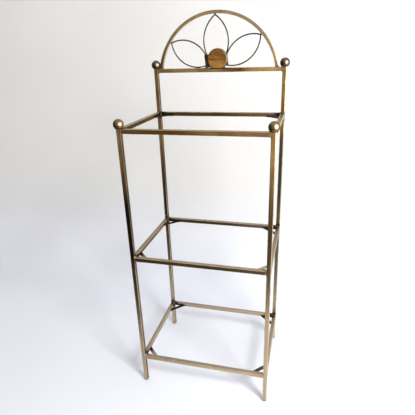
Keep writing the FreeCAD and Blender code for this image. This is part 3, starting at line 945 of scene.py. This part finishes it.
def model_bead(length, radius):
    """A bead that lies along X and thins out to its ends."""
    start_fresh()
    bpy.ops.mesh.primitive_cylinder_add(
        vertices=14, radius=radius, depth=length, rotation=(0, QUARTER_TURN, 0))
    bead = bpy.context.active_object
    settle(bead)
    edit(bead)
    for side in (-1, 1):
        for step_share, thin in BEAD_STEPS:
            select_faces(bead, lambda middle, normal: normal.x * side > FACING)
            step = (side * length * step_share, 0, 0)
            bpy.ops.mesh.extrude_region_move(TRANSFORM_OT_translate={"value": step})
            bpy.ops.transform.resize(value=(1, thin, thin))
    select_points(bead, lambda point: abs(point.x) < length / 2 + NEAR)
    bpy.ops.mesh.subdivide(number_cuts=6)
    done_editing()
    return bead


def model_drop():
    """A drop of solder of radius 1 that has run out at its foot, standing on z = 0."""
    foot_top, foot_spread = 0.1, (1.35, 1.35, 0.12)
    skirt_top, skirt_spread = 0.5, (1.12, 1.12, 1)
    start_fresh()
    bpy.ops.mesh.primitive_uv_sphere_add(segments=20, ring_count=12, radius=1.0, location=(0, 0, DROP_MIDDLE))
    drop = bpy.context.active_object
    settle(drop)
    edit(drop)
    select_points(drop, lambda point: point.z < foot_top)
    bpy.ops.transform.resize(value=foot_spread)
    select_points(drop, lambda point: foot_top <= point.z < skirt_top)
    bpy.ops.transform.resize(value=skirt_spread)
    bpy.ops.mesh.select_all(action="SELECT")
    bpy.ops.mesh.subdivide(number_cuts=1, smoothness=1.0)
    done_editing()
    return drop


def drop_at(drop, foot, wide, deep, tall, turn=Matrix.Identity(4)):
    """A copy of a drop, stretched by shares of the solder's size, turned, and put on its foot."""
    scale = sizes().solder_drop
    stretched = Matrix.Diagonal((scale * wide, scale * deep, scale * tall, 1.0))
    return copy_to(drop, Matrix.Translation(foot) @ turn @ stretched)


def turned_along(direction):
    """Turns +Z to a direction."""
    return Vector((0, 0, 1)).rotation_difference(Vector(direction)).to_matrix().to_4x4()


def points_of(node):
    return [point.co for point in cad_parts[node].data.vertices]


def lowest_point(node):
    return min(points_of(node), key=lambda point: point.z)


def petal_tip(node):
    """The point of a petal that is furthest from the arch's centre."""
    centre = Vector(sizes().arch_centre)
    return max(points_of(node), key=lambda point: (point.x - centre.x) ** 2 + (point.z - centre.z) ** 2)


def crossing(first, second):
    """The middle of the place where two wires come nearest each other."""
    points = points_of(second)
    tree = KDTree(len(points))
    for index, point in enumerate(points):
        tree.insert(point, index)
    tree.balance()
    (nearest, _, _), point = min(((tree.find(point), point) for point in points_of(first)),
                                 key=lambda pair: pair[0][2])
    return (nearest + point) / 2


def braze_finish(name, tone, darkness):
    """Poured braze or solder, burnt as far as the darkness says."""
    material, bench, shader = new_finish(name)
    braze = bench.group("burnt braze", tone=tone, darkness=darkness)
    bench.put(braze["Metallic"], shader.inputs["Metallic"])
    coat(bench, shader, braze["Color"], braze["Roughness"], braze["Height"], bump=0.35, depth=COARSE_MARKS)
    return material


class ETAGERE_OT_effects(bpy.types.Operator):
    """Builds the shared effects, such as tarnish and soot, that the finishes are made of"""

    bl_idname = "etagere.effects"
    bl_label = "Shared effects"
    bl_options = {"REGISTER", "UNDO"}

    def execute(self, context):
        for effect, inputs in EFFECTS:
            build_effect(effect, inputs)
        return {"FINISHED"}


class ETAGERE_OT_tubes(bpy.types.Operator):
    """Gives the posts, rails and arch their aged brass, with painted shade on the inner sides and on
    stretches of the posts
    """

    bl_idname = "etagere.tubes"
    bl_label = "Tubes"
    bl_options = {"REGISTER", "UNDO"}

    def execute(self, context):
        tones = colours()
        post = tube_finish(
            "post brass", (off_post_x, off_post_y), (post_torch, SOOT_REACH["post"]), (plain_place, ALONG_Z),
            inner=outside_x, dimmed=dim_posts)
        long_rail = tube_finish(
            "long rail brass", (off_post_y, off_rail), (long_rail_torch, SOOT_REACH["rail"]),
            (plain_place, ALONG_X), inner=outside_y, rail_top=tones.dull_back, browned=brown_front)
        side_rail = tube_finish(
            "side rail brass", (off_post_x, off_rail), (side_rail_torch, SOOT_REACH["rail"]),
            (plain_place, ALONG_Y), inner=outside_x, rail_top=tones.dull_high)
        crest = tube_finish(
            "crest rail brass", (off_post_y, off_rail), (crest_torch, SOOT_REACH["crest"]),
            (plain_place, ALONG_X), brass=tones.crest, brown=tones.brass, browned=brown_crest)
        arch = tube_finish(
            "arch brass", (off_arch, off_post_y), (above_crest, SOOT_REACH["arch"]), (along_arch, ALONG_X),
            half=sizes().arch_side / 2, brass=tones.arch, brown=tones.arch_brown, dimmed=dim_arch,
            browned=brown_arch)
        dress(post, "_post")
        dress(long_rail, "_front_rail", "_back_rail")
        dress(side_rail, "_left_rail", "_right_rail")
        dress(crest, "crest_rail")
        dress(arch, "crest_arch")
        return {"FINISHED"}


class ETAGERE_OT_braces(bpy.types.Operator):
    """Gives the corner braces dull brass, blackened at their ends"""

    bl_idname = "etagere.braces"
    bl_label = "Braces"
    bl_options = {"REGISTER", "UNDO"}

    def execute(self, context):
        tones = colours()
        brace, bench, shader = new_finish("brace brass", metallic=1.0, specular_tint=tones.graze)
        where = bench.place()
        axes = bench.split(where)
        front, right = on_front(axes), on_right(axes)
        front_end = right * 0.04 + short_of_post_x(axes)
        back_end = short_of_post_x(axes).least(short_of_post_y(axes)) * 0.15
        joint = front * front_end + (1.0 - front) * back_end
        torch = bench.group("torch marks", distance=joint, reach=SOOT_REACH["brace"])
        cleaner = front * right
        aged = 1.0 - cleaner
        bar = bench.tint(cleaner * axes.z.ease(0.2, 0.3, 0.85, 0.0), tones.bar, tones.soot)
        bar = bench.tint(cleaner * axes.z.stretch(0.3, 0.4, 0.5, 0.6), bar, tones.pale)
        spots = bench.group("tarnish", scale=30.0)
        layer_brass(bench, shader, {
            "clouds": spots["Clouds"] * aged, "flecks": spots["Flecks"],
            "low": bench.group("low wear")["Mask"] * aged,
            "lines": bench.group("drawn lines", along=where, stretch=BRACE_LINES)["Lines"],
            "bloom": torch["Bloom"], "soot": torch["Soot"]}, brass=bar)
        dress(brace, "_brace")
        return {"FINISHED"}


class ETAGERE_OT_finials(bpy.types.Operator):
    """Gives the balls their polish, and finishes the plugs and studs that hold them"""

    bl_idname = "etagere.finials"
    bl_label = "Finials"
    bl_options = {"REGISTER", "UNDO"}

    def execute(self, context):
        tones = colours()
        ball, bench, shader = new_finish("finial brass", metallic=1.0, specular_tint=tones.ball_graze)
        where = bench.place()
        axes = bench.split(where)
        seat = axes.z.away(FRONT_POST_TOP).least(axes.z.away(CREST_TOP))
        soot = bench.group("torch marks", distance=seat, reach=SOOT_REACH["ball"])["Soot"]
        clouds = bench.group("tarnish", scale=45.0)["Clouds"]
        lines = bench.group("drawn lines", along=where, stretch=BALL_LINES)["Lines"]
        # Painted shade: the back balls take the darker colour
        tone = bench.tint(axes.y.ease(-0.05, 0.05), tones.ball, tones.old_ball)
        tone = bench.tint(clouds * 0.35, tone, tones.brown)
        tone = bench.tint(soot * 0.85, tone, tones.soot)
        polish = lines.ease(*LINE_SPAN, 0.2, 0.27) + soot * 0.35 + clouds * 0.05
        coat(bench, shader, tone, polish, lines, bump=0.05)
        dress(ball, "_ball_finial")

        plug, bench, shader = new_finish("plug brass", metallic=1.0)
        lines = bench.group("drawn lines", along=bench.place(), stretch=PLUG_LINES)["Lines"]
        coat(bench, shader, bench.tint(lines, tones.ball, tones.brass), lines.ease(*LINE_SPAN, 0.25, 0.4))
        dress(plug, "_post_plug")

        stud, bench, shader = new_finish("stud steel", metallic=1.0)
        lines = bench.group("drawn lines", along=bench.place(), stretch=STUD_LINES)["Lines"]
        coat(bench, shader, bench.tint(lines, tones.steel, tones.wire), lines.ease(*LINE_SPAN, 0.3, 0.45),
             lines, bump=0.5, depth=COARSE_MARKS)
        dress(stud, "_finial_stud")
        return {"FINISHED"}


class ETAGERE_OT_flower(bpy.types.Operator):
    """Finishes the wire petals, the brushed disc and the plate behind it"""

    bl_idname = "etagere.flower"
    bl_label = "Flower"
    bl_options = {"REGISTER", "UNDO"}

    def wire(self, tones):
        """Darkened wire, with brass showing through."""
        wire, bench, shader = new_finish("petal wire", metallic=1.0)
        spots = bench.group("tarnish", scale=38.0)
        tone = bench.tint(spots["Clouds"] * 0.6, tones.wire, tones.wire_worn)
        tone = bench.tint(spots["Flecks"] * 0.8, tone, tones.soot)
        coat(bench, shader, tone, spots["Clouds"].ease(0.0, 1.0, 0.5, 0.36), spots["Flecks"], bump=0.3)
        return wire

    def disc(self, tones):
        """Brushed brass with dark streaks, painted shade towards the top, a grey crescent of painted
        reflection at the upper right and a dark right edge of painted shade.
        """
        disc, bench, shader = new_finish("disc brass", metallic=1.0)
        middle = (middle_of("rosette_disc").x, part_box("rosette_disc")[0].y, DISC_HEIGHT)
        offset = bench.vector("SUBTRACT", bench.place(), middle)
        turn = bench.add("ShaderNodeMapping", offset)
        turn.inputs["Rotation"].default_value = (0.0, DISC_BRUSHING, 0.0)
        lines = bench.group("drawn lines", along=turn.outputs[0], stretch=DISC_LINES)["Lines"]
        bands = bench.group("drawn lines", along=turn.outputs[0], stretch=DISC_BANDS)["Lines"]
        x, _, z = (part / DISC_RADIUS for part in bench.split(offset))
        out = bench.vector("LENGTH", bench.join(x, 0.0, z))
        # Painted shade: darker towards the top of the disc
        higher = (z + x * 0.35).ease(-0.6, 0.3, -0.1, 0.1)
        tone = bench.tint((bands + higher).ease(0.42, 0.66, 0.0, 0.9), tones.disc, tones.disc_shade)
        tone = bench.tint(bench.group("tarnish", scale=48.0)["Clouds"] * 0.3, tone, tones.bloom)
        tone = bench.shaded(tone, lines.ease(0.25, 0.75, 0.75, 1.2))
        # Painted reflection: a grey crescent along the upper right of the rim
        crescent = out.ease(0.74, 0.97) * (x * 0.8 + z * 0.5).ease(-0.2, 0.7)
        rim = (crescent * 0.85).most(out.ease(0.93, 0.985))
        tone = bench.tint(rim, tone, tones.disc_rim)
        # Painted shade along the disc's right edge
        dark_edge = x.ease(0.1, 0.6) * out.ease(0.88, 0.96, 0.0, 0.6)
        tone = bench.tint(dark_edge, tone, tones.soot)
        coat(bench, shader, tone, lines.ease(*LINE_SPAN, 0.3, 0.46), lines, bump=0.3, depth=COARSE_MARKS)
        return disc

    def plate(self, tones):
        """Unpolished brass, clouded with soot."""
        plate, bench, shader = new_finish("plate brass", metallic=1.0)
        spots = bench.group("tarnish", scale=60.0)
        coat(bench, shader, bench.tint(spots["Clouds"], tones.plate, tones.soot),
             spots["Clouds"].ease(0.0, 1.0, 0.42, 0.6), spots["Flecks"], bump=0.3)
        return plate

    def execute(self, context):
        tones = colours()
        dress(self.wire(tones), "_petal")
        dress(self.disc(tones), "rosette_disc")
        dress(self.plate(tones), "rosette_plate")
        return {"FINISHED"}


class ETAGERE_OT_glides(bpy.types.Operator):
    """Gives the foot glides dark moulded plastic, scuffed by the floor"""

    bl_idname = "etagere.glides"
    bl_label = "Foot glides"
    bl_options = {"REGISTER", "UNDO"}

    def execute(self, context):
        glide, bench, shader = new_finish("glide plastic")
        spots = bench.group("tarnish", scale=70.0)
        coat(bench, shader, bench.tint(spots["Flecks"] * 0.4, colours().glide, colours().pale),
             spots["Clouds"].ease(0.0, 1.0, 0.5, 0.7), spots["Flecks"], bump=0.2)
        dress(glide, "_foot_glide")
        return {"FINISHED"}


class ETAGERE_OT_rail_braze(bpy.types.Operator):
    """Models the braze round every rail's end and joins it tier by tier"""

    bl_idname = "etagere.rail_braze"
    bl_label = "Rail braze"
    bl_options = {"REGISTER", "UNDO"}

    def execute(self, context):
        size = sizes()
        collar = model_collar(TUBE_HALF, size.tube_corner, size.braze_reach, 0.0, size.braze_flare)
        low_collar = copy_to(collar, Matrix.Identity(4))
        trim_above(low_collar, TUBE_HALF + size.braze_film / 2)
        material = braze_finish("rail braze", colours().braze, darkness=0.9)
        for tier, height in zip(TIERS, RAIL_HEIGHTS):
            copies = [copy_to(low_collar if tier == "top" and y < 0 else collar, matrix)
                      for y, matrix in rail_ends(height)]
            pour(tier + "_tier_braze", copies, material)
        copies = [copy_to(low_collar, matrix) for _, matrix in rail_ends(RAIL_HEIGHTS[-1])
                  if abs(matrix.translation.y - POST_Y) < NEAR]
        pour("crest_rail_braze", copies, material)
        take_away(collar, low_collar)
        return {"FINISHED"}


class ETAGERE_OT_brace_braze(bpy.types.Operator):
    """Models the bead of braze under each end of the corner braces"""

    bl_idname = "etagere.brace_braze"
    bl_label = "Brace braze"
    bl_options = {"REGISTER", "UNDO"}

    def execute(self, context):
        size = sizes()
        end_length = size.brace_width * math.sqrt(2)
        inset = size.brace_bead * BEAD_INSET
        bead = model_bead(end_length * BEAD_SHARE, size.brace_bead)
        material = braze_finish("brace braze", colours().braze, darkness=1.0)
        for tier in TIERS:
            copies = []
            for face, y in zip(FACES, (-1, 1)):
                for side, x in zip(SIDES, (-1, 1)):
                    low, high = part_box("%s_%s_%s_brace" % (tier, face, side))
                    along_x = x * (high.x - low.x - end_length / 2)
                    along_y = y * (high.y - low.y - end_length / 2)
                    on_long_rail = (x * INNER_X - along_x, y * (INNER_Y - inset), low.z - inset)
                    on_side_rail = (x * (INNER_X - inset), y * INNER_Y - along_y, low.z - inset)
                    copies.append(copy_to(bead, Matrix.Translation(on_long_rail)))
                    copies.append(copy_to(bead, Matrix.Translation(on_side_rail)
                                          @ Matrix.Rotation(QUARTER_TURN, 4, "Z")))
            pour(tier + "_brace_braze", copies, material)
        take_away(bead)
        return {"FINISHED"}


class ETAGERE_OT_crest_braze(bpy.types.Operator):
    """Models the braze at the arch's feet and the solder that holds the wire flower"""

    bl_idname = "etagere.crest_braze"
    bl_label = "Crest braze"
    bl_options = {"REGISTER", "UNDO"}

    def arch_feet(self, size, centre):
        """A collar round each foot of the arch, on the crest rail."""
        upright = Matrix.Rotation(-QUARTER_TURN, 4, "Y")
        corner, reach = size.tube_corner * 0.6, size.braze_reach * 0.8
        flare_wide, flare_tall = size.arch_flare * 0.6, size.arch_flare
        collar = model_collar(size.arch_side / 2, corner, reach, flare_wide, flare_tall)
        half_span = math.sqrt(size.arch_radius ** 2 - (CREST_TOP - centre.z) ** 2)
        feet = [(centre.x + side * half_span, centre.y, CREST_TOP) for side in (-1, 1)]
        copies = [copy_to(collar, Matrix.Translation(foot) @ upright) for foot in feet]
        pour("arch_foot_braze", copies,
             braze_finish("arch braze", colours().braze, darkness=0.95))
        take_away(collar)

    def petal_tips(self, drop, size, centre):
        """A drop between the tip of each petal and the arch."""
        copies = []
        for petal in nodes_ending("_petal"):
            tip = petal_tip(petal)
            outward = Vector((tip.x - centre.x, 0, tip.z - centre.z)).normalized()
            inside = outward * (size.arch_radius - size.arch_side / 2)
            foot = Vector((centre.x, middle_of(petal).y, centre.z)) + inside
            copies.append(drop_at(drop, foot, 1.0, 0.9, 0.9, turned_along(-outward)))
        pour("petal_tip_solder", copies,
             braze_finish("tip solder", colours().wire_worn, darkness=0.95))

    def execute(self, context):
        size = sizes()
        centre = Vector(size.arch_centre)
        self.arch_feet(size, centre)
        drop = model_drop()
        self.petal_tips(drop, size, centre)

        sunk = Vector((0, 0, size.solder_drop * DROP_MIDDLE))
        pale_drop = drop_at(drop, crossing("left_petal", "centre_petal") - sunk, 1.1, 1.0, 1.0)
        pour("left_crossing_solder", [pale_drop],
             braze_finish("pale solder", colours().solder, darkness=0.35))

        disc_foot = math.sqrt(DISC_RADIUS ** 2 - (DISC_HEIGHT - CREST_TOP) ** 2)
        copies = [drop_at(drop, crossing("right_petal", "centre_petal") - sunk, 1.0, 1.0, 1.0)]
        for node, x, wide, deep, tall in (
                ("left_petal", lowest_point("left_petal").x, 2.6, 0.8, 0.55),
                ("centre_petal", lowest_point("centre_petal").x, 1.5, 0.9, 0.8),
                ("rosette_plate", lowest_point("rosette_plate").x + size.solder_drop, 1.5, 1.1, 1.0),
                ("rosette_disc", disc_foot, 1.5, 1.1, 0.9),
                ("rosette_disc", -disc_foot, 1.2, 1.0, 0.7)):
            copies.append(drop_at(drop, (x, middle_of(node).y, CREST_TOP), wide, deep, tall))
        pour("flower_foot_braze", copies,
             braze_finish("flower braze", colours().plate, darkness=1.0))
        take_away(drop)
        return {"FINISHED"}


class ETAGERE_OT_stage(bpy.types.Operator):
    """Sets up the pale floor and wall, the soft light and the camera"""

    bl_idname = "etagere.stage"
    bl_label = "Stage"
    bl_options = {"REGISTER", "UNDO"}

    def sweep(self, stage):
        """A floor that turns up into a wall in one soft bend; it can be seen through from behind."""
        start_fresh()
        back = stage.wall_back - WALL_NEAR
        bpy.ops.mesh.primitive_plane_add(size=1, location=(0, stage.wall_back - SWEEP_DEPTH / 2, 0))
        sweep = bpy.context.active_object
        sweep.name = sweep.data.name = "floor_and_wall"
        sweep.scale = (SWEEP_WIDTH, SWEEP_DEPTH, 1)
        settle(sweep)
        edit(sweep)
        select_points(sweep, lambda point: point.y > back)
        bpy.ops.mesh.extrude_region_move(TRANSFORM_OT_translate={"value": (0, 0, SWEEP_HEIGHT)})
        select_points(sweep, lambda point: point.y > back and point.z < WALL_NEAR)
        bpy.ops.mesh.bevel(offset=SWEEP_BEND, segments=SWEEP_STEPS, affect="EDGES")
        bpy.ops.object.mode_set(mode="OBJECT")
        bpy.ops.object.shade_smooth()
        material = bpy.data.materials.new("pale sweep")
        bench = fresh_bench(material)
        where = bench.place()
        tone = bench.tint(bench.split(where).z.ease(0.0, 0.5), stage.floor, stage.wall)
        soft = bench.noise(where, scale=2.2, detail=2.0).ease(0.25, 0.75, 0.97, 1.02)
        paper = bench.add("ShaderNodeBsdfDiffuse", bench.shaded(tone, soft))
        behind = bench.add("ShaderNodeNewGeometry").outputs["Backfacing"]
        clear = bench.add("ShaderNodeBsdfTransparent")
        mixed = bench.add("ShaderNodeMixShader", behind, paper.outputs[0], clear.outputs[0])
        bench.add("ShaderNodeOutputMaterial", mixed.outputs[0])
        sweep.data.materials.append(material)

    def glowing_card(self, name, where, turn, size, shine):
        """A card of light that only the brass reflects; shine gives how bright it is at a point."""
        start_fresh()
        bpy.ops.mesh.primitive_plane_add(size=1, location=where, rotation=turn)
        card = bpy.context.active_object
        card.name = card.data.name = name + "_card"
        card.scale = (*size, 1)
        settle(card)
        material = bpy.data.materials.new(name.replace("_", " "))
        bench = fresh_bench(material)
        light = shine(bench)
        glow = bench.add("ShaderNodeEmission", bench.join(light, light, light))
        bench.add("ShaderNodeOutputMaterial", glow.outputs[0])
        card.data.materials.append(material)
        card.visible_camera = card.visible_diffuse = card.visible_shadow = False

    def floor_shine(self, bench):
        """Bright round the etagere, darker further to the front and left, and bright again far off."""
        axes = bench.axes()
        forward = -axes.y - axes.x * 0.5
        leftward = axes.x * -1.87 - 0.13
        away = forward.most(leftward)
        near = away.ease(0.3, 0.86, 1.0, 0.09) * away.ease(1.1, 1.5, 1.0, 0.1)
        brighter_right = axes.x.ease(-0.25, 0.2, 0.9, 1.28)
        right = axes.x.ease(-0.8, 0.15)
        far_right = right * forward.ease(0.9, 3.8, 0.0, 0.95)
        far_left = (1.0 - right) * forward.ease(1.7, 4.6, 0.0, 0.42)
        return near * brighter_right + (far_right + far_left)

    def cards(self, stage):
        """The floor, the dark left and the bright front right of the room."""
        def left_shine(bench):
            return bench.axes().z.ease(0.6, 2.4, 0.03, 0.16)

        def window_shine(bench):
            out = bench.vector("DISTANCE", bench.place(), tuple(WINDOW_CARD_PLACE))
            return out.ease(0.1 * stage.glow_width, 0.5 * stage.glow_width, stage.glow_power, 0.0)

        facing = (WINDOW_CARD_AIM - WINDOW_CARD_PLACE).to_track_quat("Z", "Y").to_euler()
        self.glowing_card("room_floor", FLOOR_CARD_PLACE, (0, 0, 0), FLOOR_CARD_SIZE, self.floor_shine)
        self.glowing_card("room_left", LEFT_CARD_PLACE, (0, QUARTER_TURN, 0), LEFT_CARD_SIZE, left_shine)
        self.glowing_card("room_window", WINDOW_CARD_PLACE, facing, (stage.glow_width, stage.glow_width),
                          window_shine)

    def room(self, stage):
        """The room's own light, brighter from above and behind, with a glow from the front."""
        world = bpy.data.worlds.new("soft room")
        bpy.context.scene.world = world
        bench = fresh_bench(world)
        toward = bench.add("ShaderNodeTexCoord").outputs["Generated"]
        bright = bench.vector("DOT_PRODUCT", toward, BRIGHT_SIDE).ease(-0.75, 0.75)
        glow = bench.vector("DOT_PRODUCT", toward, GLOW_SIDE).ease(0.72, 0.99)
        tone = bench.tint(bright, stage.room_dark, stage.room_bright)
        light = bench.add("ShaderNodeBackground", bench.tint(glow, tone, stage.front_glow), stage.room_power)
        bench.add("ShaderNodeOutputWorld", light.outputs[0])

    def soft_light(self, name, where, aim, width, height, power):
        """A large lamp turned towards its aim, which the brass doesn't reflect."""
        start_fresh()
        bpy.ops.object.light_add(type="AREA", location=where)
        lamp = bpy.context.active_object
        lamp.name = lamp.data.name = name
        lamp.data.shape = "RECTANGLE"
        lamp.data.size = width
        lamp.data.size_y = height
        lamp.data.energy = power
        lamp.visible_glossy = False
        lamp.rotation_euler = (Vector(aim) - Vector(where)).to_track_quat("-Z", "Y").to_euler()

    def execute(self, context):
        stage = context.scene.etagere_stage
        self.sweep(stage)
        self.cards(stage)
        self.room(stage)
        self.soft_light("key_light", stage.key_place, KEY_AIM, stage.key_side, stage.key_side,
                        stage.key_power)
        self.soft_light("window_light", stage.window_place, WINDOW_AIM, stage.window_width,
                        stage.window_height, stage.window_power)
        context.scene.view_settings.view_transform = "Standard"
        start_fresh()
        bpy.ops.object.camera_add(location=stage.camera_place, rotation=stage.camera_turn)
        camera = bpy.context.active_object
        camera.data.sensor_width = SENSOR_WIDTH
        camera.data.lens = stage.camera_lens
        context.scene.camera = camera
        return {"FINISHED"}


class ETAGERE_PT_panel(bpy.types.Panel):
    """Lists the steps that dress the etagere"""

    bl_idname = "ETAGERE_PT_panel"
    bl_label = "Etagere"
    bl_space_type = "VIEW_3D"
    bl_region_type = "UI"
    bl_category = "Etagere"

    def draw(self, context):
        for step in STEPS:
            self.layout.operator(step.bl_idname)
        for group in SETTINGS:
            settings = getattr(context.scene, group)
            box = self.layout.box()
            for name in settings.__annotations__:
                box.prop(settings, name)


SETTINGS = {"etagere_sizes": EtagereSizes, "etagere_colours": EtagereColours, "etagere_stage": EtagereStage}
STEPS = (ETAGERE_OT_effects, ETAGERE_OT_tubes, ETAGERE_OT_braces, ETAGERE_OT_finials, ETAGERE_OT_flower,
         ETAGERE_OT_glides, ETAGERE_OT_rail_braze, ETAGERE_OT_brace_braze, ETAGERE_OT_crest_braze,
         ETAGERE_OT_stage)


def register():
    for kind in (*SETTINGS.values(), *STEPS, ETAGERE_PT_panel):
        bpy.utils.register_class(kind)
    for name, kind in SETTINGS.items():
        setattr(bpy.types.Scene, name, PointerProperty(type=kind))


def unregister():
    for name in SETTINGS:
        delattr(bpy.types.Scene, name)
    for kind in (ETAGERE_PT_panel, *reversed(STEPS), *reversed(SETTINGS.values())):
        bpy.utils.unregister_class(kind)


def main():
    register()
    bpy.ops.etagere.effects()
    bpy.ops.etagere.tubes()
    bpy.ops.etagere.braces()
    bpy.ops.etagere.finials()
    bpy.ops.etagere.flower()
    bpy.ops.etagere.glides()
    bpy.ops.etagere.rail_braze()
    bpy.ops.etagere.brace_braze()
    bpy.ops.etagere.crest_braze()
    bpy.ops.etagere.stage()


if __name__ == "__main__":
    main()
